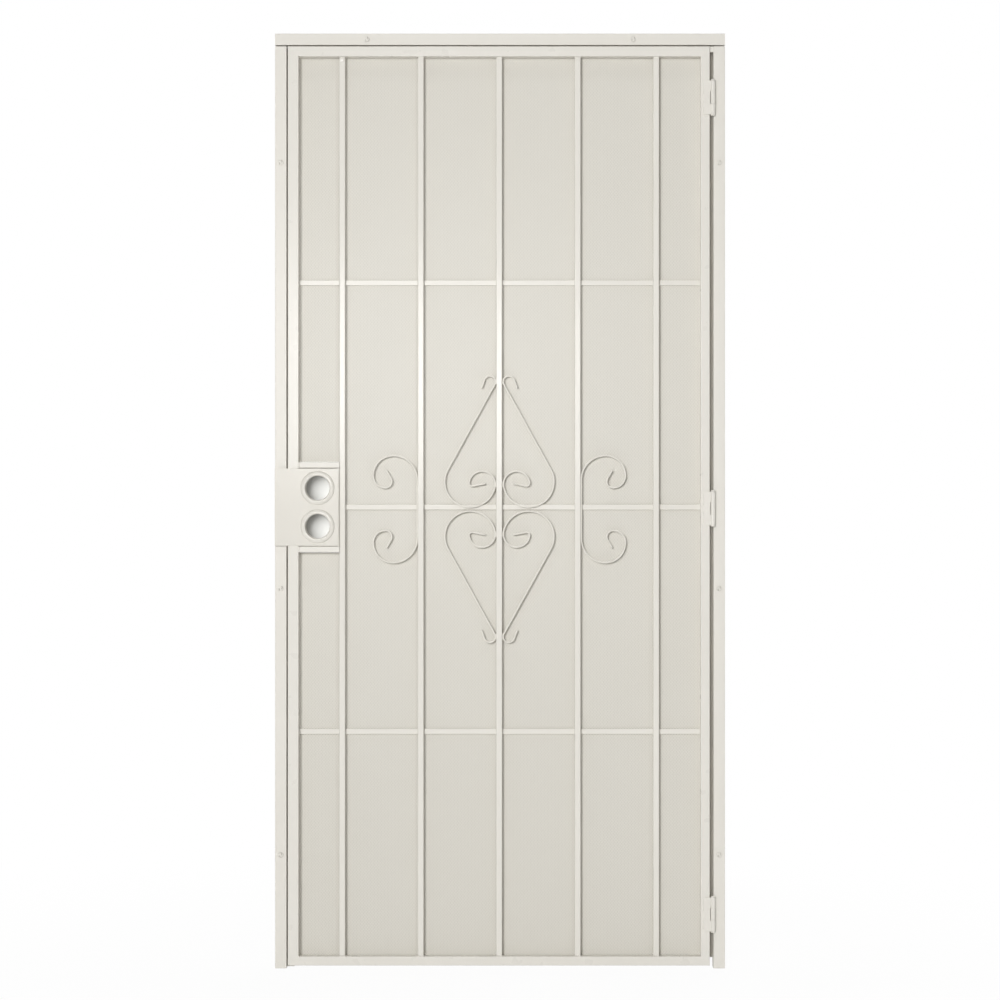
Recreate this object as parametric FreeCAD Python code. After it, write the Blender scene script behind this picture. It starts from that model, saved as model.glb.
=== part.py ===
# Steel security screen door: a welded tube leaf with scrolls and a screen, in its own wall frame.
# +X is to the right seen from outside, +Y goes into the wall and +Z is up. The origin is on the
# hinge jamb's back face at its foot: the wall plane is y = 0 and the sill is z = 0.
import FreeCAD, Part
import math
import os

Vector = FreeCAD.Vector

# Fixed frame: two jambs under a full-width header, all of one rectangular tube
frame_width = 990.6
frame_height = 2058.0
frame_face = 25.4
frame_depth = 38.1
frame_wall = 1.6
tube_corner = 1.5
header_reveal = 3.0
spigot_length = 45.0
spigot_clearance = 0.3
spigot_setback = 12.0

# Running gaps round the leaf
latch_gap = 3.2
hinge_gap = 8.4
top_gap = 3.4
sill_gap = 7.0
leaf_proud = 5.0
tab_height = 12.0
tab_depth = 12.0
tab_clearance = 1.0

# Stop bars behind the leaf
stop_thickness = 5.0
stop_lap = 12.0
stop_clearance = 5.0
hinge_stop_foot = 20.0

# Wall screws: three heights on each jamb and two places on the header
screw_hole_radius = 3.25
jamb_screw_low = 250.0
jamb_screw_middle = 836.0
jamb_screw_high = 1774.0
header_screw_spacing = 586.0

# Leaf border of mitred rectangular tube, wider at the lock and the top
leaf_face = 20.0
lock_stile_face = 23.5
top_rail_face = 22.0
leaf_depth = 25.4
leaf_wall = 1.6

# Upright bars of square tube, and the crossbars that lie behind them
bar_size = 12.7
bar_wall = 1.2
bar_count = 5
lock_bay = 89.5
hinge_bay = 91.2
bar_recess = 6.35
crossbar_height = 12.0
crossbar_spacing = 495.0
waist_drop = 2.8

# Lock box between the lock stile and the first bar
lock_plate_thickness = 3.0
lock_plate_height = 170.0
lock_plate_gap = 2.2
lock_tube_gap = 1.2
lock_tube_height = 12.7
lock_back_thickness = 2.0
lock_side_thickness = 3.0
lock_hole_radius = 27.0
lock_hole_spacing = 84.2
lock_hole_setback = 65.6
collar_radius = 37.5
collar_crest_radius = 31.0
collar_height = 5.5
collar_lip_drop = 2.0
collar_flat_count = 2
rim_flat_count = 2
latch_hole_radius = 9.5
strike_slot_width = 16.0
strike_slot_height = 40.0

# Hinges: a jamb knuckle between two leaf knuckles on one pin
hinge_length = 81.0
hinge_end_offset = 113.0
hinge_middle_drop = 5.5
hinge_plate = 3.0
hinge_strap_width = 13.0
hinge_plate_depth = 22.0
barrel_radius = 5.3
pin_radius = 3.0
pin_clearance = 0.05
pin_dome = 3.2
pin_round = 2.8
knuckle_middle = 27.0
knuckle_gap = 0.4
knuckle_relief = 1.2

# Flat bar scrolls: four S-scrolls round the middle bar, two C-scrolls on its neighbours
scroll_thickness = 3.5
scroll_depth = 8.0
scroll_drop = 4.3
scroll_touch = 0.3
s_hook_tail = 20.0
s_hook_radius = 12.5
s_hook_height = 281.0
s_hook_start = 160.0
s_loop_radius = 56.0
s_loop_height = 60.4
s_curl_radius = 29.0
s_curl_start = -12.0
s_curl_end = 172.0
s_tail_radius = 7.0
s_tail_turn = 109.0
s_tail = 28.0
c_spine = 130.0
c_top_radius = 53.0
c_side_radius = 44.0
c_under_radius = 27.0
c_curl_radius = 14.0
c_curl_turn = 120.0
c_tail = 20.0

# Screen sheet on the back of the leaf, and the strips that hold it
screen_thickness = 1.2
screen_inset = 3.0
screen_notch_gap = 1.0
strip_width = 14.0
strip_thickness = 3.0

# Places worked out from the sizes above
frame_right = frame_face / 2
frame_left = frame_right - frame_width
frame_front = -frame_depth
header_bottom = frame_height - frame_face
jamb_top = header_bottom - header_reveal
strike_inner = frame_left + frame_face
hinge_inner = frame_right - frame_face

leaf_left = strike_inner + latch_gap
leaf_right = hinge_inner - hinge_gap
leaf_bottom = sill_gap
leaf_top = header_bottom - top_gap
leaf_front = frame_front - leaf_proud
leaf_back = leaf_front + leaf_depth
leaf_middle_z = (leaf_bottom + leaf_top) / 2
waist_z = leaf_middle_z - waist_drop

screen_back = leaf_back + screen_thickness
strip_back = screen_back + strip_thickness
stop_front = max(strip_back, leaf_back + lock_back_thickness) + stop_clearance
stop_back = stop_front + stop_thickness

bar_front = leaf_front + bar_recess
bar_back = bar_front + bar_size
bar_bottom = leaf_bottom + leaf_face
bar_top = leaf_top - top_rail_face
lock_stile_inner = leaf_left + lock_stile_face
hinge_stile_inner = leaf_right - leaf_face
lock_box_right = lock_stile_inner + lock_bay
first_bar = lock_box_right + bar_size / 2
last_bar = hinge_stile_inner - hinge_bay - bar_size / 2
bar_pitch = (last_bar - first_bar) / (bar_count - 1)
bar_places = [first_bar + i * bar_pitch for i in range(bar_count)]
lock_hole_x = leaf_left + lock_hole_setback
lock_hole_heights = [waist_z - lock_hole_spacing / 2, waist_z + lock_hole_spacing / 2]
lock_box_half = lock_plate_height / 2 + lock_tube_gap
lock_back_half = lock_box_half + lock_tube_height
latch_axis_y = (leaf_front + leaf_back) / 2

hinge_x = hinge_inner - hinge_plate / 2
hinge_y = leaf_front - hinge_plate / 2
hinge_heights = {
    "bottom": leaf_bottom + hinge_end_offset,
    "middle": leaf_middle_z - hinge_middle_drop,
    "top": leaf_top - hinge_end_offset,
}
scroll_axis_z = waist_z - scroll_drop

# How far a cutting shape runs past the faces that it cuts
overrun = 1.0


def block(x0, x1, y0, y1, z0, z1):
    """Plain box between two corners."""
    return Part.makeBox(x1 - x0, y1 - y0, z1 - z0, Vector(x0, y0, z0))


def tube(x0, x1, y0, y1, z0, z1, wall, along):
    """Rectangular tube with rounded outer corners, open at both ends, running along X or Z."""
    outer = block(x0, x1, y0, y1, z0, z1)
    run = Vector(1, 0, 0) if along == "x" else Vector(0, 0, 1)
    corners = [e for e in outer.Edges if abs(e.tangentAt(e.FirstParameter).dot(run)) > 0.9]
    outer = outer.makeFillet(tube_corner, corners)
    if along == "x":
        inner = block(x0 - overrun, x1 + overrun, y0 + wall, y1 - wall, z0 + wall, z1 - wall)
    else:
        inner = block(x0 + wall, x1 - wall, y0 + wall, y1 - wall, z0 - overrun, z1 + overrun)
    return outer.cut(inner)


def hole(radius, start, direction, length):
    """Round cutting pin from a start point."""
    return Part.makeCylinder(radius, length, start, direction)


def save(name, shape):
    shape.exportStep("parts/" + name + ".step")


def screw_hole(x, z):
    """Hole through the front and back walls of a frame tube."""
    start = Vector(x, frame_front - overrun, z)
    return hole(screw_hole_radius, start, Vector(0, 1, 0), frame_depth + 2 * overrun)


def jamb(left):
    """Upright frame tube with its three screw holes, open at the foot."""
    post = tube(left, left + frame_face, frame_front, 0, 0, jamb_top, frame_wall, "z")
    for height in (jamb_screw_low, jamb_screw_middle, jamb_screw_high):
        post = post.cut(screw_hole(left + frame_face / 2, height))
    return post


def strike_jamb():
    """Latch-side jamb with a slot in its inner wall for each bolt."""
    post = jamb(frame_left)
    for height in lock_hole_heights:
        slot = block(
            strike_inner - frame_wall - overrun,
            strike_inner + overrun,
            latch_axis_y - strike_slot_width / 2,
            latch_axis_y + strike_slot_width / 2,
            height - strike_slot_height / 2,
            height + strike_slot_height / 2,
        )
        post = post.cut(slot)
    return post


def header():
    """Full-width top tube, its ends closed by plates welded flush."""
    level = tube(frame_left, frame_right, frame_front, 0, header_bottom, frame_height, frame_wall, "x")
    for end in (frame_left, frame_right - frame_wall):
        plug = block(
            end,
            end + frame_wall,
            frame_front + frame_wall,
            -frame_wall,
            header_bottom + frame_wall,
            frame_height - frame_wall,
        )
        level = level.fuse(plug)
    middle = (frame_left + frame_right) / 2
    height = header_bottom + frame_face / 2
    for side in (-1, 1):
        level = level.cut(screw_hole(middle + side * header_screw_spacing / 2, height))
    return level.removeSplitter()


def spigot(left):
    """Stub under the header that slides into the top of a jamb and leaves a reveal between them."""
    inset = frame_wall + spigot_clearance
    return block(
        left + inset,
        left + frame_face - inset,
        frame_front + spigot_setback,
        -inset,
        header_bottom - spigot_length,
        header_bottom,
    )


def build_frame():
    save("header", header())
    save("strike_spigot", spigot(frame_left))
    save("hinge_spigot", spigot(hinge_inner))
    save("strike_jamb", strike_jamb())
    save("hinge_jamb", jamb(hinge_inner))
    stop_top = leaf_top - stop_lap
    strike_edge = leaf_left + stop_lap
    hinge_edge = leaf_right - stop_lap
    save("header_stop", block(strike_inner, hinge_inner, stop_front, stop_back, stop_top, header_bottom))
    save("strike_stop", block(strike_inner, strike_edge, stop_front, stop_back, 0, stop_top))
    save("hinge_stop", block(hinge_edge, hinge_inner, stop_front, stop_back, hinge_stop_foot, stop_top))
    tab_edge = leaf_right + tab_clearance
    tab_back = frame_front + tab_depth
    tab_foot = leaf_top - tab_height
    save("hinge_corner_tab", block(tab_edge, hinge_inner, frame_front, tab_back, tab_foot, leaf_top))


def mitre(tube_shape, outline):
    """Keep the stretch of a border tube that lies inside a four-sided outline in the XZ plane."""
    points = [Vector(x, leaf_front - overrun, z) for x, z in outline]
    face = Part.Face(Part.makePolygon(points + points[:1]))
    return tube_shape.common(face.extrude(Vector(0, leaf_depth + 2 * overrun, 0)))


def stile(outer, inner):
    """Leaf upright between its two mitres."""
    x0 = min(outer, inner)
    x1 = max(outer, inner)
    upright = tube(x0, x1, leaf_front, leaf_back, leaf_bottom, leaf_top, leaf_wall, "z")
    outline = [
        (outer, leaf_bottom),
        (outer, leaf_top),
        (inner, bar_top),
        (inner, bar_bottom),
    ]
    return mitre(upright, outline)


def rail(outer, inner):
    """Leaf top or bottom tube between its two mitres."""
    z0 = min(outer, inner)
    z1 = max(outer, inner)
    level = tube(leaf_left, leaf_right, leaf_front, leaf_back, z0, z1, leaf_wall, "x")
    outline = [
        (leaf_left, outer),
        (leaf_right, outer),
        (hinge_stile_inner, inner),
        (lock_stile_inner, inner),
    ]
    return mitre(level, outline)


def lock_stile():
    """Lock-side stile with a latch hole through it at each lock."""
    upright = stile(leaf_left, lock_stile_inner)
    for height in lock_hole_heights:
        start = Vector(leaf_left - overrun, latch_axis_y, height)
        cutter = hole(latch_hole_radius, start, Vector(1, 0, 0), lock_stile_face + 2 * overrun)
        upright = upright.cut(cutter)
    return upright


def build_leaf_border():
    save("lock_stile", lock_stile())
    save("hinge_stile", stile(leaf_right, hinge_stile_inner))
    save("top_rail", rail(leaf_top, bar_top))
    save("bottom_rail", rail(leaf_bottom, bar_bottom))


def build_bars():
    half = bar_size / 2
    for number, x in enumerate(bar_places, start=1):
        upright = tube(x - half, x + half, bar_front, bar_back, bar_bottom, bar_top, bar_wall, "z")
        save("vertical_bar_%d" % number, upright)
    for step, name in ((-1, "lower"), (0, "middle"), (1, "upper")):
        z = waist_z + step * crossbar_spacing - crossbar_height / 2
        start = lock_box_right if name == "middle" else lock_stile_inner
        level = tube(start, hinge_stile_inner, bar_back, leaf_back, z, z + crossbar_height, bar_wall, "x")
        save("crossbar_" + name, level)


def turned(profile, base, axis):
    """Solid turned about an axis from a half profile of (radius, height) points, base to tip."""
    points = [Vector(radius, 0, height) for radius, height in profile]
    face = Part.Face(Part.makePolygon(points + points[:1]))
    shape = face.revolve(Vector(0, 0, 0), Vector(0, 0, 1), 360)
    shape.Placement = FreeCAD.Placement(base, FreeCAD.Rotation(Vector(0, 0, 1), axis))
    return shape


def rolled_disc(radius, height, rim_round):
    """Half profile of a disc whose outer rim is rolled over in a few flats."""
    rim = []
    for step in range(rim_flat_count + 1):
        turn = math.radians(90 * step / rim_flat_count)
        inset = rim_round * (1 - math.cos(turn))
        drop = rim_round * (1 - math.sin(turn))
        rim.append((radius - inset, height - drop))
    return [(0, 0), (radius, 0)] + rim + [(0, height)]


def lock_collar(height):
    """Raised ring round a lock hole, rolled up to a crest and down again to the hole's lip."""
    base = Vector(lock_hole_x, leaf_front - lock_plate_thickness, height)
    profile = [(0, 0), (collar_radius, 0)]
    for step in range(1, collar_flat_count + 1):
        turn = math.radians(90 * step / collar_flat_count)
        out = (collar_radius - collar_crest_radius) * math.cos(turn)
        profile.append((collar_crest_radius + out, collar_height * math.sin(turn)))
    for step in range(1, collar_flat_count + 1):
        turn = math.radians(90 * step / collar_flat_count)
        inward = (collar_crest_radius - lock_hole_radius) * math.sin(turn)
        drop = collar_lip_drop * (1 - math.cos(turn))
        profile.append((collar_crest_radius - inward, collar_height - drop))
    profile.append((0, collar_height - collar_lip_drop))
    return turned(profile, base, Vector(0, -1, 0))


def lock_bore(height):
    """Cutting pin of one lock, from in front of its collar to behind the box."""
    start = Vector(lock_hole_x, leaf_front - lock_plate_thickness - collar_height - overrun, height)
    reach = leaf_back + lock_back_thickness + overrun - start.y
    return hole(lock_hole_radius, start, Vector(0, 1, 0), reach)


def lock_plate():
    """Front plate of the lock box, run on over the strike jamb as a latch guard."""
    plate = block(
        frame_left,
        lock_box_right - lock_plate_gap,
        leaf_front - lock_plate_thickness,
        leaf_front,
        waist_z - lock_plate_height / 2,
        waist_z + lock_plate_height / 2,
    )
    for height in lock_hole_heights:
        plate = plate.fuse(lock_collar(height))
    for height in lock_hole_heights:
        plate = plate.cut(lock_bore(height))
    return plate.removeSplitter()


def lock_box_back():
    """Back and side of the lock box, one sheet folded to an L."""
    panel = block(
        leaf_left + screen_inset,
        lock_box_right,
        leaf_back,
        leaf_back + lock_back_thickness,
        waist_z - lock_back_half,
        waist_z + lock_back_half,
    )
    side = block(
        lock_box_right - lock_side_thickness,
        lock_box_right,
        leaf_front,
        leaf_back,
        waist_z - lock_box_half,
        waist_z + lock_box_half,
    )
    sheet = panel.fuse(side)
    for height in lock_hole_heights:
        sheet = sheet.cut(lock_bore(height))
    return sheet.removeSplitter()


def build_lock_box():
    save("lock_plate", lock_plate())
    save("lock_box_back", lock_box_back())
    for name, z in (
        ("top", waist_z + lock_box_half),
        ("bottom", waist_z - lock_back_half),
    ):
        level = tube(
            lock_stile_inner,
            lock_box_right,
            leaf_front,
            leaf_back,
            z,
            z + lock_tube_height,
            leaf_wall,
            "x",
        )
        save("lock_box_%s_tube" % name, level)


def knuckle(z0, z1):
    return Part.makeCylinder(barrel_radius, z1 - z0, Vector(hinge_x, hinge_y, z0))


def jamb_plate(centre):
    """Hinge plate on the jamb's inner side, with the middle knuckle on a tab."""
    half = hinge_length / 2 - pin_dome - knuckle_gap
    tab = knuckle_middle / 2
    back = frame_front + hinge_plate_depth
    plate_right = hinge_inner
    plate_left = hinge_inner - hinge_plate
    plate_front = max(frame_front, hinge_y + barrel_radius + knuckle_relief)
    plate = block(plate_left, plate_right, plate_front, back, centre - half, centre + half)
    tongue = block(plate_left, plate_right, hinge_y, back, centre - tab, centre + tab)
    shape = plate.fuse(tongue).fuse(knuckle(centre - tab, centre + tab))
    bore = hole(
        pin_radius,
        Vector(hinge_x, hinge_y, centre - tab - overrun),
        Vector(0, 0, 1),
        knuckle_middle + 2 * overrun,
    )
    return shape.cut(bore).removeSplitter()


def leaf_strap(centre):
    """Hinge strap on the stile's front, with a knuckle above and below the jamb's one."""
    half = hinge_length / 2 - pin_dome - knuckle_gap
    notch = knuckle_middle / 2 + knuckle_gap
    left = leaf_right - hinge_strap_width
    strap = block(left, hinge_x, leaf_front - hinge_plate, leaf_front, centre - half, centre + half)
    shape = strap.fuse(knuckle(centre - half, centre - notch)).fuse(knuckle(centre + notch, centre + half))
    reach = barrel_radius + knuckle_relief
    relief = block(
        hinge_x - reach,
        hinge_x + reach,
        hinge_y - reach,
        hinge_y + reach,
        centre - notch,
        centre + notch,
    )
    bore = hole(
        pin_radius + pin_clearance,
        Vector(hinge_x, hinge_y, centre - half - overrun),
        Vector(0, 0, 1),
        hinge_length + 2 * overrun,
    )
    return shape.cut(relief).cut(bore).removeSplitter()


def hinge_pin(centre):
    """Pin with a domed button at each end, just clear of the leaf knuckles."""
    button = hinge_length / 2 - pin_dome
    shape = Part.makeCylinder(pin_radius, 2 * button, Vector(hinge_x, hinge_y, centre - button))
    for end in (-1, 1):
        seat = Vector(hinge_x, hinge_y, centre + end * button)
        cap = turned(rolled_disc(barrel_radius, pin_dome, pin_round), seat, Vector(0, 0, end))
        shape = shape.fuse(cap)
    return shape.removeSplitter()


def build_hinges():
    for name, centre in hinge_heights.items():
        save("hinge_%s_jamb_plate" % name, jamb_plate(centre))
        save("hinge_%s_leaf_strap" % name, leaf_strap(centre))
        save("hinge_%s_pin" % name, hinge_pin(centre))


def walk(start, heading, steps):
    """Follow a bent bar from a start point: a step is a length, or a radius with a turn to the left.

    Gives each step's start, middle and end as (point, heading), with the turn's radius or None.
    """
    x, z = start
    spans = []
    for radius, amount in steps:
        marks = []
        for share in (0.0, 0.5, 1.0):
            if radius is None:
                at = heading
                px = x + amount * share * math.cos(math.radians(heading))
                pz = z + amount * share * math.sin(math.radians(heading))
            else:
                side = radius if amount > 0 else -radius
                at = heading + amount * share
                px = x + side * (math.sin(math.radians(at)) - math.sin(math.radians(heading)))
                pz = z - side * (math.cos(math.radians(at)) - math.cos(math.radians(heading)))
            marks.append((px, pz, at))
        spans.append((radius, marks))
        x, z, heading = marks[2]
    return spans


def bent_bar(start, heading, steps):
    """Flat bar stood on edge against the crossbars, bent along a path in the XZ plane."""
    spans = walk(start, heading, steps)

    def offset(mark, side):
        px, pz, at = mark
        shift = side * scroll_thickness / 2
        return Vector(
            px - shift * math.sin(math.radians(at)),
            bar_back - scroll_depth,
            pz + shift * math.cos(math.radians(at)),
        )

    def edges(side):
        made = []
        for radius, marks in spans:
            first, middle, last = [offset(mark, side) for mark in marks]
            if radius is None:
                made.append(Part.LineSegment(first, last).toShape())
            else:
                made.append(Part.Arc(first, middle, last).toShape())
        return made

    start_mark = spans[0][1][0]
    end_mark = spans[-1][1][2]
    caps = [
        Part.LineSegment(offset(start_mark, 1), offset(start_mark, -1)).toShape(),
        Part.LineSegment(offset(end_mark, 1), offset(end_mark, -1)).toShape(),
    ]
    outline = Part.Wire(Part.__sortEdges__(edges(1) + edges(-1) + caps))
    return Part.Face(outline).extrude(Vector(0, scroll_depth, 0))


def s_scroll():
    """Upper left S-scroll beside the middle bar: tailed hook, straight, big loop, inner curl and tail."""
    side = bar_places[bar_count // 2] - bar_size / 2 - scroll_touch - scroll_thickness / 2
    hook_x = side - s_hook_radius
    loop_x = side - s_loop_radius
    rise = s_hook_height - s_loop_height
    lean = math.degrees(math.atan2(-rise, loop_x - hook_x))
    apart = math.hypot(rise, loop_x - hook_x)
    crossing = math.degrees(math.asin((s_hook_radius + s_loop_radius) / apart))
    down = lean - crossing
    straight = apart * math.cos(math.radians(crossing))
    hook_heading = s_hook_start - 90
    bend_x = hook_x + s_hook_radius * math.cos(math.radians(s_hook_start))
    bend_z = scroll_axis_z + s_hook_height + s_hook_radius * math.sin(math.radians(s_hook_start))
    start = (
        bend_x - s_hook_tail * math.cos(math.radians(hook_heading)),
        bend_z - s_hook_tail * math.sin(math.radians(hook_heading)),
    )
    hook_turn = (down - hook_heading) % 360 - 360
    loop_turn = (s_curl_start + 90 - down) % 360
    steps = [
        (None, s_hook_tail),
        (s_hook_radius, hook_turn),
        (None, straight),
        (s_loop_radius, loop_turn),
        (s_curl_radius, s_curl_end - s_curl_start),
        (s_tail_radius, s_tail_turn),
        (None, s_tail),
    ]
    return bent_bar(start, hook_heading, steps)


def c_scroll():
    """Left C-scroll: a straight spine on the bar's outer side and a curl at each end."""
    side = bar_places[bar_count // 2 - 1] - bar_size / 2 - scroll_thickness / 2
    curl = [
        (c_top_radius, 90),
        (c_side_radius, 90),
        (c_under_radius, 90),
        (c_curl_radius, c_curl_turn),
        (None, c_tail),
    ]
    half = walk((side, c_spine / 2), 90, curl)
    tip_x, tip_z, tip_heading = half[-1][1][2]
    start = (tip_x, scroll_axis_z - tip_z)
    return bent_bar(start, 180 - tip_heading, curl[::-1] + [(None, c_spine)] + curl)


def build_scrolls():
    across = (Vector(bar_places[bar_count // 2], 0, 0), Vector(1, 0, 0))
    level = (Vector(0, 0, scroll_axis_z), Vector(0, 0, 1))
    upper_left = s_scroll()
    save("s_scroll_upper_left", upper_left)
    save("s_scroll_upper_right", upper_left.mirror(*across))
    save("s_scroll_lower_left", upper_left.mirror(*level))
    save("s_scroll_lower_right", upper_left.mirror(*level).mirror(*across))
    left = c_scroll()
    save("c_scroll_left", left)
    save("c_scroll_right", left.mirror(*across))


def build_screen():
    """Screen sheet, notched round the lock box, and its four holding strips."""
    left = leaf_left + screen_inset
    right = leaf_right - screen_inset
    bottom = leaf_bottom + screen_inset
    top = leaf_top - screen_inset
    notch_half = lock_back_half + screen_notch_gap
    sheet = block(left, right, leaf_back, screen_back, bottom, top)
    notch = block(
        left - overrun,
        lock_box_right + screen_notch_gap,
        leaf_back - overrun,
        screen_back + overrun,
        waist_z - notch_half,
        waist_z + notch_half,
    )
    save("screen", sheet.cut(notch))
    save("screen_strip_top", block(left, right, screen_back, strip_back, top - strip_width, top))
    save("screen_strip_bottom", block(left, right, screen_back, strip_back, bottom, bottom + strip_width))
    low = bottom + strip_width
    high = top - strip_width
    save("screen_strip_hinge", block(right - strip_width, right, screen_back, strip_back, low, high))
    upper = block(left, left + strip_width, screen_back, strip_back, waist_z + notch_half, high)
    lower = block(left, left + strip_width, screen_back, strip_back, low, waist_z - notch_half)
    save("screen_strip_lock", Part.makeCompound([upper, lower]))


os.makedirs("parts", exist_ok=True)
build_frame()
build_leaf_border()
build_bars()
build_lock_box()
build_hinges()
build_scrolls()
build_screen()
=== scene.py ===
import math

import bpy
from mathutils import Matrix, Vector


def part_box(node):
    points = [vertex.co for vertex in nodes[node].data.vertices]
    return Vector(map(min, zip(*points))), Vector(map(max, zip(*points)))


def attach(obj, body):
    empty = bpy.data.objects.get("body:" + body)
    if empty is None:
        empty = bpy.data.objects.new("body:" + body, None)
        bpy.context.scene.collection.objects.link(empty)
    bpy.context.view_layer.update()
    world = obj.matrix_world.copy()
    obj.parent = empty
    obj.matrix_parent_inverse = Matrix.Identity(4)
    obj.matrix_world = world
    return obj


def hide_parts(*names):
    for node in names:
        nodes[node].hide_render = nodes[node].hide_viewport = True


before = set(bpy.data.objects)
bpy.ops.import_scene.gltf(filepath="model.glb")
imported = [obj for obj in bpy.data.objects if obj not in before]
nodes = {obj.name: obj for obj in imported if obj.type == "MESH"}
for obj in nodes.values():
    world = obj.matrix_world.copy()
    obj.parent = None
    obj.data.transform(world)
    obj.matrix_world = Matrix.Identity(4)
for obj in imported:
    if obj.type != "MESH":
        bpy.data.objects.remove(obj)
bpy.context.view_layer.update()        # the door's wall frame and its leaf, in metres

# Wall frame: two jambs of rectangular steel tube under a full-width header, joined by stubs that
# slide into the jamb tops. Cut, drilled and welded, then powder coated almond and baked, which
# leaves a semi-gloss skin with a fine orange peel and a slow drift of tone.


def powder_coat_skin():
    """Surface of baked powder: tone drift, orange peel height and uneven gloss."""
    skin = bpy.data.node_groups.new("powder coat skin", "ShaderNodeTree")
    face = skin.interface
    face.new_socket("Coat", in_out="INPUT", socket_type="NodeSocketColor")
    face.new_socket("Thin Coat", in_out="INPUT", socket_type="NodeSocketColor")
    face.new_socket("Gloss Low", in_out="INPUT", socket_type="NodeSocketFloat")
    face.new_socket("Gloss High", in_out="INPUT", socket_type="NodeSocketFloat")
    face.new_socket("Colour", in_out="OUTPUT", socket_type="NodeSocketColor")
    face.new_socket("Roughness", in_out="OUTPUT", socket_type="NodeSocketFloat")
    face.new_socket("Peel", in_out="OUTPUT", socket_type="NodeSocketFloat")
    tree = skin.nodes
    link = skin.links.new
    given = tree.new("NodeGroupInput")
    made = tree.new("NodeGroupOutput")
    place = tree.new("ShaderNodeTexCoord")

    def noise(scale, detail):
        """Noise fixed to the piece."""
        cloud = tree.new("ShaderNodeTexNoise")
        cloud.inputs["Scale"].default_value = scale
        cloud.inputs["Detail"].default_value = detail
        link(place.outputs["Object"], cloud.inputs["Vector"])
        return cloud.outputs["Fac"]

    tone = tree.new("ShaderNodeMix")
    tone.data_type = "RGBA"
    link(noise(scale=4.0, detail=3.0), tone.inputs["Factor"])
    link(given.outputs["Thin Coat"], tone.inputs["A"])
    link(given.outputs["Coat"], tone.inputs["B"])
    link(tone.outputs["Result"], made.inputs["Colour"])

    link(noise(scale=520.0, detail=2.0), made.inputs["Peel"])

    gloss = tree.new("ShaderNodeMapRange")
    link(noise(scale=38.0, detail=4.0), gloss.inputs["Value"])
    link(given.outputs["Gloss Low"], gloss.inputs["To Min"])
    link(given.outputs["Gloss High"], gloss.inputs["To Max"])
    link(gloss.outputs["Result"], made.inputs["Roughness"])
    return skin


coat_skin = powder_coat_skin()


def powder_coat(name, coat, thin_coat, gloss, peel_depth):
    """Baked powder on steel: gloss is the lowest and highest roughness, peel_depth is in metres."""
    paint = bpy.data.materials.new(name)
    paint.use_nodes = True
    tree = paint.node_tree.nodes
    link = paint.node_tree.links.new
    shader = tree["Principled BSDF"]
    skin = tree.new("ShaderNodeGroup")
    skin.node_tree = coat_skin
    skin.inputs["Coat"].default_value = (*coat, 1.0)
    skin.inputs["Thin Coat"].default_value = (*thin_coat, 1.0)
    skin.inputs["Gloss Low"].default_value = gloss[0]
    skin.inputs["Gloss High"].default_value = gloss[1]
    bump = tree.new("ShaderNodeBump")
    bump.inputs["Distance"].default_value = peel_depth
    bump.inputs["Strength"].default_value = 0.6
    link(skin.outputs["Peel"], bump.inputs["Height"])
    link(skin.outputs["Colour"], shader.inputs["Base Color"])
    link(skin.outputs["Roughness"], shader.inputs["Roughness"])
    link(bump.outputs["Normal"], shader.inputs["Normal"])
    return paint


def coat_nodes(paint, names):
    """Give CAD nodes their paint."""
    for name in names:
        for material_slot in nodes[name].material_slots:
            material_slot.material = paint


almond = (0.780, 0.758, 0.708)
# A darker almond: the thin end of the coat's random drift of tone, and the base of the painted shade on the
# stop bars, lock box and scrolls.
almond_thin_and_shade = (0.748, 0.722, 0.664)
frame_coat = powder_coat(
    "almond coat on frame", almond, almond_thin_and_shade, gloss=(0.34, 0.46), peel_depth=0.00012,
)
coat_nodes(frame_coat, ["header", "strike_jamb", "hinge_jamb"])
coat_nodes(frame_coat, ["strike_spigot", "hinge_spigot", "hinge_corner_tab"])

# Stop bars: flat steel bars welded inside the frame, which the closed leaf comes to rest against.
# They sit in the shade behind the leaf. Their coat is duller, and its darker colour is painted shade.
stop_painted_shade = (0.70, 0.675, 0.61)
stop_coat = powder_coat(
    "darker almond on stop bars, painted shade", almond_thin_and_shade, stop_painted_shade, gloss=(0.42, 0.55), peel_depth=0.00012,
)
coat_nodes(stop_coat, ["header_stop", "strike_stop", "hinge_stop"])

# Wall screws: one-way pan heads of zinc-plated steel, coated with the frame. Two facing ramps cut
# into each head let a blade drive it in but not back it out. Their floors, and the sides of the heads
# close to the frame, are darkened with painted shade. One is modelled and copied to the rest.
head_radius = 0.0056
head_height = 0.0030
head_edge = 0.0016
ramp_length = 0.0048
ramp_width = 0.0028
ramp_depth = 0.0026
ramp_shallow = 0.1       # scale of a ramp's cutter on the side where it runs out of the head
header_screw_reach = 0.293
jamb_screw_levels = (0.250, 0.836, 1.774)
head_turns = (84, 97, 78, 91, 102, 86, 95, 80)
# Colour of the painted shade on the ramp floors and round the foot of each head.
recess_painted_shade = (0.16, 0.15, 0.13, 1.0)
shade_begins = 0.55         # shares of the head's height, up from the frame's face, where painted shade begins and is full
shade_full = 0.15
square_on = 0.9          # a face looks along an axis when its normal has this much of it


def put_down():
    """Leave edit mode and drop the whole selection."""
    if bpy.context.object and bpy.context.object.mode != "OBJECT":
        bpy.ops.object.mode_set(mode="OBJECT")
    bpy.ops.object.select_all(action="DESELECT")


def take_up(piece):
    """Select one piece alone and make it the active one."""
    put_down()
    piece.select_set(True)
    bpy.context.view_layer.objects.active = piece


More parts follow.
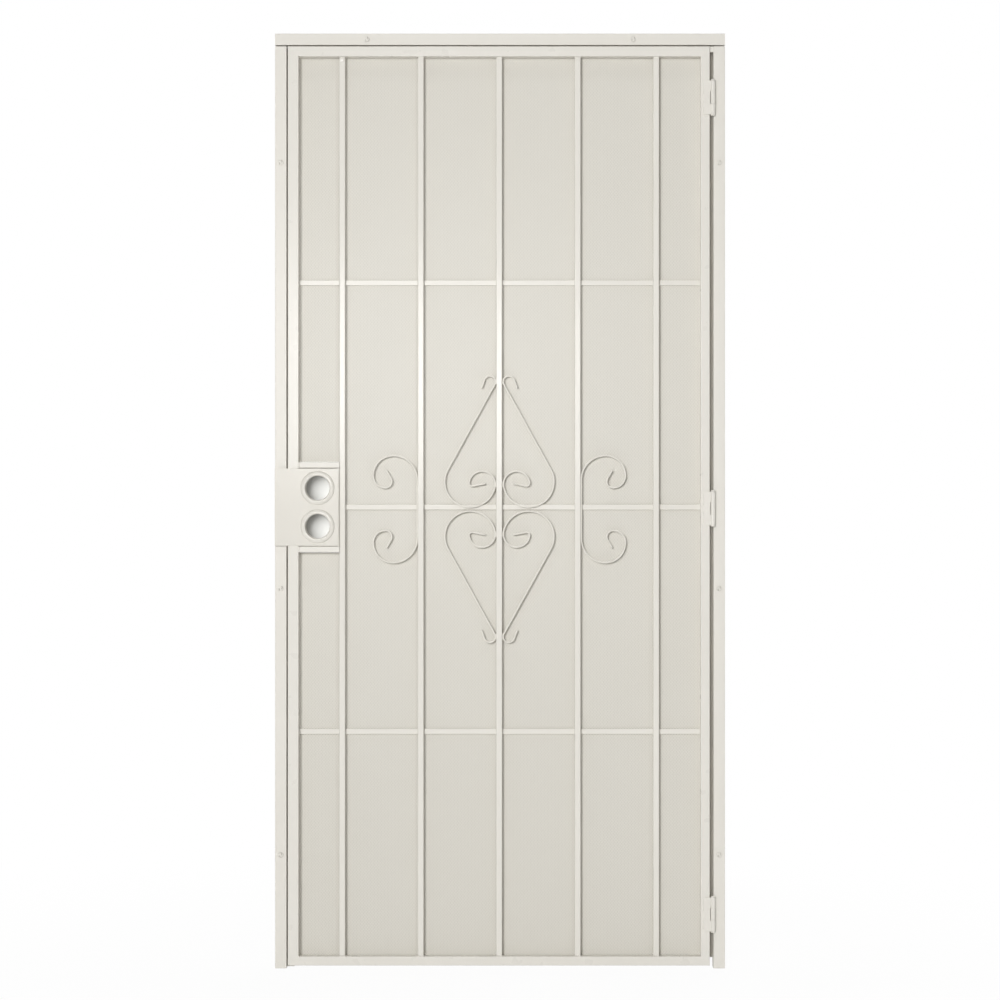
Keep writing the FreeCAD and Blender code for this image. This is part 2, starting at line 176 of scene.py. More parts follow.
def pick(piece, wanted):
    """Go into edit mode on a piece with only the faces that pass a test selected."""
    take_up(piece)
    bpy.ops.object.mode_set(mode="EDIT")
    bpy.ops.mesh.select_mode(type="FACE")
    bpy.ops.mesh.select_all(action="DESELECT")
    bpy.ops.object.mode_set(mode="OBJECT")
    for face in piece.data.polygons:
        face.select = wanted(face)
    bpy.ops.object.mode_set(mode="EDIT")


def settle(piece):
    """Put a piece's place into its mesh."""
    take_up(piece)
    bpy.ops.object.transform_apply(location=True, rotation=True, scale=True)


def cut_with(piece, cutter):
    """Cut a shape out of a piece and drop the cutter."""
    take_up(piece)
    cut = piece.modifiers.new("cut", "BOOLEAN")
    cut.operation = "DIFFERENCE"
    cut.solver = "EXACT"
    cut.object = cutter
    bpy.ops.object.modifier_apply(modifier=cut.name)
    bpy.data.objects.remove(cutter)


def spread(pattern, name, places):
    """Copy a pattern by matrices, each copy with its own mesh, and join the copies as one piece."""
    put_down()
    copies = []
    for place in places:
        mesh = pattern.data.copy()
        mesh.transform(place)
        copies.append(bpy.data.objects.new(name, mesh))
        bpy.context.scene.collection.objects.link(copies[-1])
        copies[-1].select_set(True)
    bpy.context.view_layer.objects.active = copies[0]
    bpy.ops.object.join()
    whole = bpy.context.object
    whole.name = name
    return whole


def smooth(piece, angle):
    """Shade a piece smooth where its faces meet at less than an angle in degrees."""
    take_up(piece)
    bpy.ops.object.shade_smooth_by_angle(angle=math.radians(angle))


def coat_piece(paint, piece):
    """Give a piece modelled here its paint."""
    piece.data.materials.clear()
    piece.data.materials.append(paint)


def middle_of(name):
    """Middle of a CAD node's box."""
    low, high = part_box(name)
    return (low + high) / 2


def paint_shade_by_depth(paint, coated, full_shade_depth):
    """Paint shade over a coat, none at the first depth and full at the second, as on the ramp floors."""
    tree = paint.node_tree.nodes
    link = paint.node_tree.links.new
    base = tree["Principled BSDF"].inputs["Base Color"]
    place = tree.new("ShaderNodeTexCoord")
    axes = tree.new("ShaderNodeSeparateXYZ")
    link(place.outputs["Object"], axes.inputs["Vector"])
    depth = tree.new("ShaderNodeMapRange")
    depth.inputs["From Min"].default_value = coated
    depth.inputs["From Max"].default_value = full_shade_depth
    link(axes.outputs["Y"], depth.inputs["Value"])
    shade_mix = tree.new("ShaderNodeMix")
    shade_mix.data_type = "RGBA"
    shade_mix.inputs["B"].default_value = recess_painted_shade
    link(depth.outputs["Result"], shade_mix.inputs["Factor"])
    link(base.links[0].from_socket, shade_mix.inputs["A"])
    link(shade_mix.outputs["Result"], base)


put_down()
bpy.ops.mesh.primitive_cylinder_add(
    vertices=32, radius=head_radius, depth=head_height,
    rotation=(math.radians(90), 0, 0), location=(0, -head_height / 2, 0),
)
screw = bpy.context.object
settle(screw)
pick(screw, lambda face: face.normal.y < -square_on)
bpy.ops.mesh.bevel(offset=head_edge, segments=4, profile=0.6)
bpy.ops.object.mode_set(mode="OBJECT")
for side in (-1, 1):
    bpy.ops.mesh.primitive_cube_add(size=1.0)
    ramp = bpy.context.object
    ramp.dimensions = (ramp_length, 2 * ramp_depth, ramp_width)
    ramp.location = (side * ramp_length / 2, -head_height, -side * ramp_width / 2)
    settle(ramp)
    pick(ramp, lambda face: side * face.normal.z > square_on)
    bpy.ops.mesh.select_mode(type="VERT")
    bpy.ops.transform.resize(
        value=(1, ramp_shallow, 1), center_override=(0, -head_height - ramp_depth, 0),
    )
    bpy.ops.object.mode_set(mode="OBJECT")
    cut_with(screw, ramp)

jamb_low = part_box("hinge_jamb")[0]
frame_front = jamb_low.y
header_middle = middle_of("header").x
header_level = middle_of("header").z
jamb_middles = (middle_of("strike_jamb").x, middle_of("hinge_jamb").x)
screw_places = [(header_middle + side * header_screw_reach, header_level) for side in (-1, 1)]
screw_places += [(x, level) for level in jamb_screw_levels for x in jamb_middles]
wall_screws = spread(screw, "wall_screws", [
    Matrix.Translation((x, frame_front, z)) @ Matrix.Rotation(math.radians(turn), 4, "Y")
    for (x, z), turn in zip(screw_places, head_turns)
])
bpy.data.objects.remove(screw)
smooth(wall_screws, angle=35)
screw_coat = powder_coat(
    "almond coat on screws, painted shade in the ramps", almond, almond_thin_and_shade, gloss=(0.28, 0.40), peel_depth=0.00006,
)
paint_shade_by_depth(
    screw_coat, frame_front - shade_begins * head_height, frame_front - shade_full * head_height,
)
coat_piece(screw_coat, wall_screws)
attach(wall_screws, "frame")

# Hinges: three steel weld-on hinges, each a jamb knuckle between two leaf knuckles on one pin.
# A plate is welded to the jamb and a strap to the leaf, and the whole is coated with the door.
hinge_levels = ("bottom", "middle", "top")
hinge_coat = powder_coat(
    "almond coat on hinges", almond, almond_thin_and_shade, gloss=(0.30, 0.42), peel_depth=0.00008,
)
for level in hinge_levels:
    for part in ("jamb_plate", "leaf_strap", "pin"):
        coat_nodes(hinge_coat, ["hinge_%s_%s" % (level, part)])

# Leaf border: four lengths of rectangular tube, mitred at the corners, welded and ground flush.
# The coat has flowed out further here than on the frame, so it is glossier, with a finer peel.
leaf_coat = powder_coat(
    "almond coat on leaf", almond, almond_thin_and_shade, gloss=(0.24, 0.34), peel_depth=0.00008,
)
coat_nodes(leaf_coat, ["lock_stile", "hinge_stile", "top_rail", "bottom_rail"])

# Lock box: a steel plate with two collared holes for bought locks, run on over the jamb as a latch
# guard, and a folded back sheet between two short tubes. The plate's sheared edges are eased, and the
# tubes have the duller coat of the frame. The plate and the back sheet take a darker copy of the
# almond, painted shade that tones down the light they catch.
plate_edge = 0.0005
plate_painted_shade = (0.722, 0.696, 0.640)
lock_tubes = ["lock_box_top_tube", "lock_box_bottom_tube"]


def eased(name, width, paint):
    """Stand a copy of a node of the leaf in its place, with its sharp edges rounded over."""
    piece = bpy.data.objects.new(name + "_eased", nodes[name].data.copy())
    bpy.context.scene.collection.objects.link(piece)
    pick(piece, lambda face: True)
    bpy.ops.mesh.remove_doubles(threshold=0.000005)
    bpy.ops.mesh.dissolve_limited(angle_limit=math.radians(0.5))
    bpy.ops.object.mode_set(mode="OBJECT")
    edge = piece.modifiers.new("eased edge", "BEVEL")
    edge.width = width
    edge.segments = 2
    edge.limit_method = "ANGLE"
    edge.angle_limit = math.radians(50)
    bpy.ops.object.modifier_apply(modifier=edge.name)
    smooth(piece, angle=40)
    flats = piece.modifiers.new("flat faces", "WEIGHTED_NORMAL")
    flats.keep_sharp = True
    bpy.ops.object.modifier_apply(modifier=flats.name)
    coat_piece(paint, piece)
    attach(piece, "leaf")
    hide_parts(name)


plate_coat = powder_coat(
    "darker almond on lock box, painted shade", almond_thin_and_shade, plate_painted_shade, gloss=(0.19, 0.27), peel_depth=0.00008,
)
coat_nodes(plate_coat, ["lock_plate", "lock_box_back"])
coat_nodes(frame_coat, lock_tubes)
eased("lock_plate", plate_edge, plate_coat)

# Bars: five uprights of half-inch square tube and three flat crossbars behind them, welded where
# they meet. On these narrow bars the powder flows out well, so they shine more than the border.
# The edges of the crossbars are eased.
bars = ["vertical_bar_%d" % number for number in range(1, 6)]
crossbars = ["crossbar_lower", "crossbar_middle", "crossbar_upper"]
crossbar_edge = 0.0003
bar_coat = powder_coat(
    "almond coat on bars", almond, almond_thin_and_shade, gloss=(0.18, 0.26), peel_depth=0.00006,
)
coat_nodes(bar_coat, bars + crossbars)
for name in crossbars:
    eased(name, crossbar_edge, bar_coat)

# Scrolls: six lengths of flat bar bent cold round a jig, four S shapes round the middle bar and
# a C on each neighbour. Their edges are rolled, not sharp, and the coat on them is duller; its
# darker colour is painted shade for their shaded sides.
scroll_edge = 0.0005
scroll_painted_shade = (0.700, 0.676, 0.616)
scroll_coat = powder_coat(
    "darker almond on scrolls, painted shade", almond_thin_and_shade, scroll_painted_shade, gloss=(0.46, 0.58), peel_depth=0.00006,
)
scrolls = ["s_scroll_%s_%s" % (level, side) for level in ("upper", "lower") for side in ("left", "right")]
scrolls += ["c_scroll_left", "c_scroll_right"]
coat_nodes(scroll_coat, scrolls)
for name in scrolls:
    eased(name, scroll_edge, scroll_coat)

# Screen: one sheet of fine expanded metal behind the bars. The sheet is slit and stretched into
# small diamonds, and its strands lie slightly tilted, so it reads as a pale matt weave. Here it is a
# solid sheet, with painted shade in the openings of the weave.
diamond_width = 0.0062
diamond_height = 0.0031
strand_share = 0.30
strand_foot = 0.75       # shares of a strand, out from its middle, where it ends and where it is flat
strand_crown = 0.35
strand_rise = 0.00030
screen_strand = (0.764, 0.743, 0.686)
screen_thin = (0.745, 0.722, 0.663)
screen_opening_painted_shade = (0.560, 0.539, 0.484)


def sum_up(material_tree, operation, first, second=None):
    """One step of arithmetic in a material, on numbers or on the outputs of other nodes."""
    step = material_tree.nodes.new("ShaderNodeMath")
    step.operation = operation
    for socket, value in zip(step.inputs, (first, second)):
        if isinstance(value, float):
            socket.default_value = value
        elif value is not None:
            material_tree.links.new(value, socket)
    return step.outputs["Value"]


def weave_diamonds(paint):
    """Lay raised strands over a coat, with painted shade in the openings between them."""
    tree = paint.node_tree.nodes
    link = paint.node_tree.links.new
    shader = tree["Principled BSDF"]
    place = tree.new("ShaderNodeTexCoord")
    axes = tree.new("ShaderNodeSeparateXYZ")
    link(place.outputs["Object"], axes.inputs["Vector"])
    across = sum_up(paint.node_tree, "MULTIPLY", axes.outputs["X"], 1 / diamond_width)
    upward = sum_up(paint.node_tree, "MULTIPLY", axes.outputs["Z"], 1 / diamond_height)

    def slanting(way):
        """Distance from the middle of a diamond towards one slanting row of strands."""
        row = sum_up(paint.node_tree, "FRACT", sum_up(paint.node_tree, way, across, upward))
        return sum_up(paint.node_tree, "ABSOLUTE", sum_up(paint.node_tree, "SUBTRACT", row, 0.5))

    nearest = sum_up(paint.node_tree, "MAXIMUM", slanting("ADD"), slanting("SUBTRACT"))
    strand = tree.new("ShaderNodeMapRange")
    strand.interpolation_type = "SMOOTHSTEP"
    strand.inputs["From Min"].default_value = 0.5 - strand_share * strand_foot
    strand.inputs["From Max"].default_value = 0.5 - strand_share * strand_crown
    link(nearest, strand.inputs["Value"])

    weave = tree.new("ShaderNodeMix")
    weave.data_type = "RGBA"
    weave.inputs["A"].default_value = (*screen_opening_painted_shade, 1.0)
    link(strand.outputs["Result"], weave.inputs["Factor"])
    link(shader.inputs["Base Color"].links[0].from_socket, weave.inputs["B"])
    link(weave.outputs["Result"], shader.inputs["Base Color"])

    bump = tree.new("ShaderNodeBump")
    bump.inputs["Distance"].default_value = strand_rise
    bump.inputs["Strength"].default_value = 0.25
    link(strand.outputs["Result"], bump.inputs["Height"])
    link(shader.inputs["Normal"].links[0].from_socket, bump.inputs["Normal"])
    link(bump.outputs["Normal"], shader.inputs["Normal"])
    shader.inputs["Specular IOR Level"].default_value = 0.42


screen_coat = powder_coat(
    "almond coat on expanded metal", screen_strand, screen_thin, gloss=(0.36, 0.46), peel_depth=0.00006,
)
weave_diamonds(screen_coat)
coat_nodes(screen_coat, ["screen"])

# Screen strips: flat steel strips on the back of the leaf, which clamp the screen's edges. Each is
# drilled, coated with the leaf and screwed to the border with small cross-slotted pan heads.
# These heads share the wall screws' painted shade, which is full behind the wall frame's face, so they come
# out dark all over.
strip_head_radius = 0.0040
strip_head_height = 0.0022
strip_head_edge = 0.0014
cross_length = 0.0046
cross_width = 0.0011
cross_depth = 0.0012
cross_taper = 0.6
rail_strip_screws = 5
rail_strip_margin = 0.060
hinge_strip_screws = 8
hinge_strip_margin = 0.080
lock_strip_screws = 4
lock_strip_margin = 0.040
strip_turn = 37          # degrees from each head to the next


def evenly(low, high, margin, count):
    """Evenly spaced places along a strip, the outer two a margin from its ends."""
    return [low + margin + step * (high - low - 2 * margin) / (count - 1) for step in range(count)]


coat_nodes(leaf_coat, ["screen_strip_" + side for side in ("top", "bottom", "hinge", "lock")])
put_down()
bpy.ops.mesh.primitive_cylinder_add(
    vertices=20, radius=strip_head_radius, depth=strip_head_height,
    rotation=(math.radians(90), 0, 0), location=(0, strip_head_height / 2, 0),
)
strip_screw = bpy.context.object
settle(strip_screw)
pick(strip_screw, lambda face: face.normal.y > square_on)
bpy.ops.mesh.bevel(offset=strip_head_edge, segments=3, profile=0.6)
bpy.ops.object.mode_set(mode="OBJECT")
for length, width in ((cross_length, cross_width), (cross_width, cross_length)):
    bpy.ops.mesh.primitive_cube_add(size=1.0)
    slot_cut = bpy.context.object
    slot_cut.dimensions = (length, 2 * cross_depth, width)
    slot_cut.location = (0, strip_head_height, 0)
    settle(slot_cut)
    pick(slot_cut, lambda face: face.normal.y < -square_on)
    bpy.ops.transform.resize(value=(cross_taper, 1, cross_taper))
    bpy.ops.object.mode_set(mode="OBJECT")
    cut_with(strip_screw, slot_cut)

top_low, top_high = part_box("screen_strip_top")
hinge_low, hinge_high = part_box("screen_strip_hinge")
lock_low, lock_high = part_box("screen_strip_lock")
box_low, box_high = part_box("lock_box_back")
strip_face = hinge_high.y
rail_levels = (middle_of("screen_strip_top").z, middle_of("screen_strip_bottom").z)
hinge_strip_x = middle_of("screen_strip_hinge").x
lock_strip_x = middle_of("screen_strip_lock").x
strip_places = []
for x in evenly(top_low.x, top_high.x, rail_strip_margin, rail_strip_screws):
    strip_places += [(x, level) for level in rail_levels]
for z in evenly(hinge_low.z, hinge_high.z, hinge_strip_margin, hinge_strip_screws):
    strip_places.append((hinge_strip_x, z))
for low, high in ((lock_low.z, box_low.z), (box_high.z, lock_high.z)):
    for z in evenly(low, high, lock_strip_margin, lock_strip_screws):
        strip_places.append((lock_strip_x, z))
strip_screws = spread(strip_screw, "strip_screws", [
    Matrix.Translation((x, strip_face, z)) @ Matrix.Rotation(math.radians(strip_turn * number % 90), 4, "Y")
    for number, (x, z) in enumerate(strip_places)
])
bpy.data.objects.remove(strip_screw)
smooth(strip_screws, angle=35)
coat_piece(screw_coat, strip_screws)
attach(strip_screws, "leaf")

# Welds: short rippled beads of weld metal where the bars, crossbars, scrolls, lock box and hinges
# meet what carries them, left as laid and coated over. One bead is modelled and copied to the rest.
pattern_length = 1.0
pattern_radius = 0.16
nose_inset = 0.45 * pattern_radius
nose_length = 0.5 * pattern_radius
ripple_step = 0.12
ripple_waist = 0.80
put_down()
bpy.ops.mesh.primitive_cylinder_add(
    vertices=8, radius=pattern_radius, depth=pattern_length, end_fill_type="NGON",
    rotation=(0, math.radians(90), 0),
)
bead = bpy.context.object
settle(bead)
pick(bead, lambda face: abs(face.normal.x) > square_on)
bpy.ops.mesh.inset(thickness=nose_inset, depth=nose_length, use_even_offset=False)
for ripple in range(-3, 4):
    bpy.ops.mesh.select_all(action="SELECT")
    bpy.ops.mesh.bisect(plane_co=(ripple * ripple_step, 0, 0), plane_no=(1, 0, 0))
    if ripple % 2:
        bpy.ops.transform.resize(value=(1, ripple_waist, ripple_waist), center_override=(0, 0, 0))
bpy.ops.object.mode_set(mode="OBJECT")


def laid(x, y, z, along, length, radius):
    """Matrix of a bead: its middle, the axis it runs along, its length and its radius."""
    turn = {
        "x": Matrix.Identity(4),
        "y": Matrix.Rotation(math.radians(90), 4, "Z"),
        "z": Matrix.Rotation(math.radians(-90), 4, "Y"),
    }[along]
    thickness = radius / pattern_radius
    size = Matrix.Diagonal((length / pattern_length, thickness, thickness, 1.0))
    return Matrix.Translation((x, y, z)) @ turn @ size


leaf_beads = []
frame_beads = []
leaf_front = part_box("lock_stile")[0].y
stile_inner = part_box("lock_stile")[1].x

crossing_margin = 0.004  # a bar's side this close to a crossbar's left end has no bead
for bar in bars:
    bar_low, bar_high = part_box(bar)
    bar_middle = middle_of(bar)
    for joint in (bar_low.z, bar_high.z):
        leaf_beads.append(laid(bar_middle.x, bar_low.y, joint, "x", length=0.0120, radius=0.0020))
        for side in (bar_low.x, bar_high.x):
            leaf_beads.append(laid(side, bar_middle.y, joint, "y", length=0.0125, radius=0.0014))
    for crossbar in crossbars:
        level = middle_of(crossbar).z
        left_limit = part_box(crossbar)[0].x + crossing_margin
        for side in (bar_low.x, bar_high.x):
            if side > left_limit:
                leaf_beads.append(laid(side, bar_high.y, level, "z", length=0.0100, radius=0.0012))
for crossbar in crossbars:
    cross_low, cross_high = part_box(crossbar)
    level = middle_of(crossbar).z
    for end in (cross_low.x, cross_high.x):
        leaf_beads.append(laid(end, cross_low.y, level, "z", length=0.0110, radius=0.0014))

tube_bead_x = stile_inner + 0.0010
tube_bead_y = leaf_front + 0.0006
tube_end_y = leaf_front + 0.0062
for tube in lock_tubes:
    level = middle_of(tube).z
    leaf_beads.append(laid(tube_bead_x, tube_bead_y, level, "z", length=0.0120, radius=0.0030))
    leaf_beads.append(laid(box_high.x, tube_end_y, level, "z", length=0.0115, radius=0.0016))

plate_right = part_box("lock_plate")[1].x
plate_level = middle_of("lock_plate").z
plate_bead_y = leaf_front - 0.0003
plate_bead_spacing = 0.055
for step in (-1, 0, 1):
    level = plate_level + step * plate_bead_spacing
    leaf_beads.append(laid(plate_right, plate_bead_y, level, "z", length=0.0240, radius=0.0012))

middle_bar_low, middle_bar_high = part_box("vertical_bar_3")
scroll_low, scroll_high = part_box("s_scroll_upper_left")
scroll_level = (scroll_high.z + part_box("s_scroll_lower_left")[0].z) / 2
s_bead_rises = (0.055, 0.281)
s_bead_out = 0.0003
s_meeting_out = 0.0578
s_meeting_rise = 0.0044
s_meeting_y = scroll_high.y - 0.0004
c_bead_rise = 0.045
for up in (-1, 1):
    for side, out in ((middle_bar_low.x, -1), (middle_bar_high.x, 1)):
        for rise in s_bead_rises:
            x = side + out * s_bead_out
            z = scroll_level + up * rise
            leaf_beads.append(laid(x, scroll_low.y, z, "z", length=0.0110, radius=0.0012))
        x = side + out * s_meeting_out
        z = scroll_level + up * s_meeting_rise
        leaf_beads.append(laid(x, s_meeting_y, z, "x", length=0.0130, radius=0.0014))
for edge in (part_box("vertical_bar_2")[0].x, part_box("vertical_bar_4")[1].x):
    for up in (-1, 1):
        z = scroll_level + up * c_bead_rise
        leaf_beads.append(laid(edge, scroll_low.y, z, "z", length=0.0130, radius=0.0013))

knuckle_bead_shift = 0.020
strap_bead_y = leaf_front - 0.0004
jamb_bead_inset = 0.0050
for level in hinge_levels:
    strap_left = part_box("hinge_%s_leaf_strap" % level)[0].x
    knuckle_level = middle_of("hinge_%s_leaf_strap" % level).z
    plate_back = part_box("hinge_%s_jamb_plate" % level)[1]
    jamb_bead_x = plate_back.x - jamb_bead_inset
    for up in (-1, 1):
        z = knuckle_level + up * knuckle_bead_shift
        leaf_beads.append(laid(strap_left, strap_bead_y, z, "z", length=0.0220, radius=0.0014))
        frame_beads.append(laid(jamb_bead_x, plate_back.y, z, "z", length=0.0240, radius=0.0016))

for name, body, places in (("leaf_welds", "leaf", leaf_beads), ("frame_welds", "frame", frame_beads)):
    welds = spread(bead, name, places)
    smooth(welds, angle=60)
    coat_piece(bar_coat, welds)
    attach(welds, body)
bpy.data.objects.remove(bead)

# Weld drop: a flat drop of weld metal that ran down the front of the first bar from its top joint.
# It was left unground, and the powder has flowed over it to a high gloss.
drop_size = (0.0096, 0.0024, 0.0110)
drop_tilt = math.radians(14.4)
drop_turn = math.radians(3.5)
drop_left = 0.0006
drop_out = 0.0009
drop_down = 0.0080
first_low, first_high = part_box("vertical_bar_1")
put_down()
bpy.ops.mesh.primitive_uv_sphere_add(segments=28, ring_count=14, radius=1.0)
drop = bpy.context.object
drop.name = "weld_drop"
drop.dimensions = drop_size
drop.rotation_euler = (drop_tilt, 0, drop_turn)
drop.location = (
    middle_of("vertical_bar_1").x - drop_left, first_low.y - drop_out, first_high.z - drop_down,
)
settle(drop)
smooth(drop, angle=60)
drop_coat = powder_coat(
    "almond coat on weld drop", almond, almond_thin_and_shade, gloss=(0.09, 0.13), peel_depth=0.00002,
)
coat_piece(drop_coat, drop)
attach(drop, "leaf")

# Studio floor: a wide white sheet under the door. It glows to the camera and in the gloss, and
# close to the door a small share of it is matt, which keeps a faint shadow.
floor_size = 24.0
floor_level = -0.0005
shadow_near = 0.3
shadow_far = 2.2
glow_near = 0.95
white = (1.0, 1.0, 1.0, 1.0)


def floor_white():
    """White that glows, apart from a faint matt share round the door."""
    paint = bpy.data.materials.new("studio floor white")
    paint.use_nodes = True
    tree = paint.node_tree.nodes
    link = paint.node_tree.links.new
    tree.remove(tree["Principled BSDF"])
    matt = tree.new("ShaderNodeBsdfDiffuse")
    matt.inputs["Color"].default_value = (0.9, 0.9, 0.9, 1.0)
    glow = tree.new("ShaderNodeEmission")
    glow.inputs["Color"].default_value = white
    glow.inputs["Strength"].default_value = 1.0
    path = tree.new("ShaderNodeLightPath")
    seen = sum_up(
        paint.node_tree, "MAXIMUM", path.outputs["Is Camera Ray"], path.outputs["Is Glossy Ray"],
    )
    place = tree.new("ShaderNodeTexCoord")
    spot = tree.new("ShaderNodeVectorMath")
    spot.operation = "DISTANCE"
    spot.inputs[1].default_value = (header_middle, 0.0, 0.0)
    link(place.outputs["Object"], spot.inputs[0])
    far = tree.new("ShaderNodeMapRange")
    far.interpolation_type = "SMOOTHSTEP"
    far.inputs["From Min"].default_value = shadow_near
    far.inputs["From Max"].default_value = shadow_far
    far.inputs["To Min"].default_value = glow_near
    far.inputs["To Max"].default_value = 1.0
    link(spot.outputs["Value"], far.inputs["Value"])
    blend = tree.new("ShaderNodeMixShader")
    link(sum_up(paint.node_tree, "MULTIPLY", seen, far.outputs["Result"]), blend.inputs["Fac"])
    link(matt.outputs["BSDF"], blend.inputs[1])
    link(glow.outputs["Emission"], blend.inputs[2])
    link(blend.outputs["Shader"], tree["Material Output"].inputs["Surface"])
    return paint


put_down()
bpy.ops.mesh.primitive_plane_add(size=floor_size, location=(header_middle, 0.0, floor_level))
floor = bpy.context.object
floor.name = "studio_floor"
settle(floor)
coat_piece(floor_white(), floor)

# Grey card: a small backdrop behind the lock holes, inside the depth of the wall frame. It shows
# from the front alone, casts no shadow and has a lamp of its own. Its dark grey deepens the shade
# seen through the holes as painted shade, and its lamp lights the rest of it white.
card_width = 0.066
card_height = 0.172
card_depth = -0.004
lock_hole_x = -0.8820
card_middle = Vector((lock_hole_x, card_depth, plate_level))


def grey_card_with_painted_shade():
    """Dark grey matt card, clear from behind; its dark colour is painted shade."""
    paint = bpy.data.materials.new("grey card, painted shade in the lock holes")
    paint.use_nodes = True
    tree = paint.node_tree.nodes
    link = paint.node_tree.links.new
    shader = tree["Principled BSDF"]
    shader.inputs["Base Color"].default_value = (0.30, 0.30, 0.29, 1.0)
    shader.inputs["Roughness"].default_value = 0.9
    clear = tree.new("ShaderNodeBsdfTransparent")
    facing = tree.new("ShaderNodeNewGeometry")
    one_side = tree.new("ShaderNodeMixShader")
    link(facing.outputs["Backfacing"], one_side.inputs["Fac"])
    link(shader.outputs["BSDF"], one_side.inputs[1])
    link(clear.outputs["BSDF"], one_side.inputs[2])
    link(one_side.outputs["Shader"], tree["Material Output"].inputs["Surface"])
    return paint


bpy.ops.mesh.primitive_plane_add(size=1.0, rotation=(math.radians(90), 0, 0))
card = bpy.context.object
card.name = "grey_card"
card.dimensions = (card_width, card_height, 0.0)
card.location = card_middle
card.visible_diffuse = False
card.visible_glossy = False
card.visible_shadow = False
settle(card)
coat_piece(grey_card_with_painted_shade(), card)

# Light from all round: a dim, slightly warm glow on the door, which the camera sees as white.
# It fills the shadows that the lamps leave.


def light_all_round():
    """Warm glow from every side, with a white backdrop for the camera."""
    world = bpy.data.worlds.new("studio light")
    world.use_nodes = True
    tree = world.node_tree.nodes
    link = world.node_tree.links.new
    around = tree["Background"]
    around.inputs["Color"].default_value = (1.0, 0.99, 0.955, 1.0)
    around.inputs["Strength"].default_value = 0.24
    backdrop = tree.new("ShaderNodeBackground")
    backdrop.inputs["Color"].default_value = white
    backdrop.inputs["Strength"].default_value = 1.0
    path = tree.new("ShaderNodeLightPath")
    seen = sum_up(
        world.node_tree, "MAXIMUM", path.outputs["Is Camera Ray"], path.outputs["Is Transmission Ray"],
    )
    blend = tree.new("ShaderNodeMixShader")
    link(seen, blend.inputs["Fac"])
    link(around.outputs["Background"], blend.inputs[1])
    link(backdrop.outputs["Background"], blend.inputs[2])
    link(blend.outputs["Shader"], tree["World Output"].inputs["Surface"])
    return world


bpy.context.scene.world = light_all_round()

# Lamps: a far key lamp to the left, fills in front for the middle, foot and head of the door and
# one overhead, a tilted softbox that only the gloss sees, and softboxes for back, top and sides.
# Two more lamps light one piece each: the hinge stop, in the gap beside the leaf, and the card.
door_level = 1.03
key_level = 1.1


def lamp(name, place, aim, size, power, in_gloss=False):
    """Soft rectangular lamp that faces a point and shows in the gloss only where asked."""
    light = bpy.data.lights.new(name, "AREA")
    light.shape = "RECTANGLE"
    light.size = size[0]
    light.size_y = size[1]
    light.energy = power
    stand = bpy.data.objects.new(name, light)
    stand.location = place
    stand.rotation_euler = (Vector(aim) - Vector(place)).to_track_quat("-Z", "Y").to_euler()
    stand.visible_glossy = in_gloss
    bpy.context.scene.collection.objects.link(stand)
    return stand


def off_to_left(point, left, up, distance):
    """Place in front of a point, turned to the left and raised by angles in degrees."""
    turn = math.radians(left)
    lift = math.radians(up)
    way = (-math.sin(turn) * math.cos(lift), -math.cos(turn) * math.cos(lift), math.sin(lift))
    return Vector(point) + distance * Vector(way)


def light_only(stand, piece):
    """Link a lamp to one piece, so that it lights nothing else."""
    lit = bpy.data.collections.new("lit by " + stand.name)
    lit.objects.link(piece)
    stand.light_linking.receiver_collection = lit


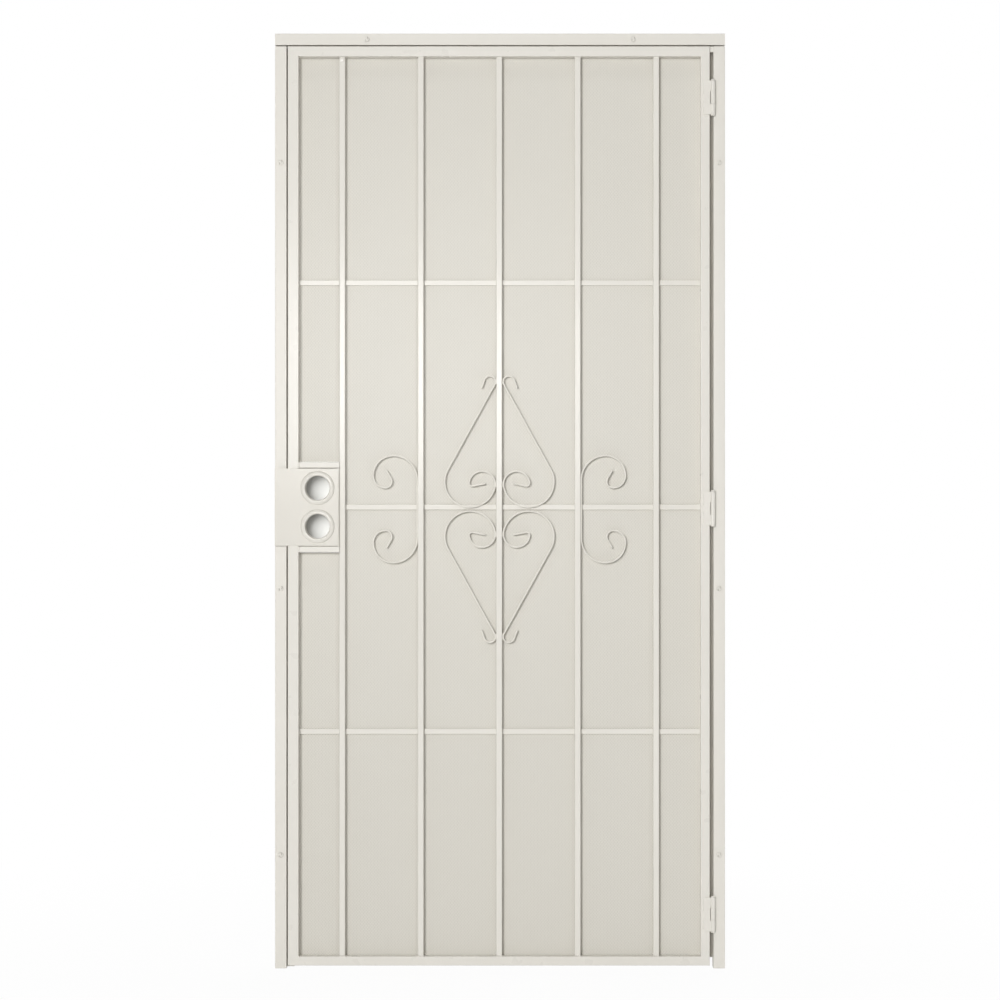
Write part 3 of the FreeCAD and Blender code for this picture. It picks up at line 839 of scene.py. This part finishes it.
lamp(
    "key_lamp", aim=(header_middle, frame_front, door_level), size=(3.8, 3.8), power=1990.0,
    place=off_to_left((header_middle, frame_front, key_level), left=14.5, up=8.6, distance=20.0),
)
fill_middle = header_middle - 0.18
lamp(
    "front_fill", place=(fill_middle, frame_front - 1.6, 1.36), aim=(fill_middle, frame_front, 1.33),
    size=(1.0, 0.3), power=4.4,
)
for name, level, power in (("low_fill", 0.33, 0.50), ("top_fill", 2.03, 0.40)):
    lamp(
        name, place=(header_middle, frame_front - 1.2, level), aim=(header_middle, frame_front, level),
        size=(1.4, 0.3), power=power,
    )
softbox = lamp(
    "front_softbox", place=(-0.725, frame_front - 1.6, 1.378), aim=(-0.66, frame_front, 1.273),
    size=(0.91, 0.49), power=9.1, in_gloss=True,
)
softbox.rotation_euler.rotate_axis("Z", math.radians(-6.0))
softbox.visible_diffuse = False
lamp(
    "back_softbox", place=(header_middle + 1.5, 5.0, 2.6), aim=(header_middle, 0.0, door_level),
    size=(3.0, 3.0), power=150.0,
)
lamp(
    "top_softbox", place=(header_middle, 0.5, 4.5), aim=(header_middle, 0.0, 2.0),
    size=(2.0, 0.6), power=18.0,
)
lamp(
    "overhead_fill", place=(header_middle, frame_front - 1.2, 4.2), aim=(header_middle, frame_front, 1.0),
    size=(1.6, 0.4), power=7.0,
)
for name, sideways in (("left_softbox", -4.0), ("right_softbox", 4.0)):
    lamp(
        name, place=(header_middle + sideways, 0.8, 1.5), aim=(header_middle, 0.0, 1.1),
        size=(1.5, 2.0), power=30.0,
    )
gap_middle = (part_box("hinge_stile")[1].x + jamb_low.x) / 2
gap_lamp = lamp(
    "hinge_gap_fill", place=(-1.10, frame_front - 6.0, door_level),
    aim=(gap_middle, frame_front, door_level), size=(0.3, 0.3), power=40.0, in_gloss=True,
)
light_only(gap_lamp, nodes["hinge_stop"])
card_lamp = lamp(
    "card_lamp", place=off_to_left(card_middle, left=22.5, up=9.6, distance=4.0), aim=card_middle,
    size=(2.8, 2.8), power=450.0, in_gloss=True,
)
light_only(card_lamp, card)

# Camera: level and square on, in front of the middle of the door. The height of its view is set
# at the front of the wall frame.
camera_distance = 6.1
camera_level = 1.0311
view_height = 2.2013
sensor = 36.0
lens = bpy.data.cameras.new("front_camera")
lens.sensor_width = sensor
lens.lens = sensor * camera_distance / view_height
camera = bpy.data.objects.new("front_camera", lens)
camera.location = (header_middle, frame_front - camera_distance, camera_level)
camera.rotation_euler = (math.radians(90.0), 0.0, 0.0)
bpy.context.scene.collection.objects.link(camera)
bpy.context.scene.camera = camera
bpy.context.scene.view_settings.view_transform = "Standard"

bpy.context.view_layer.update()
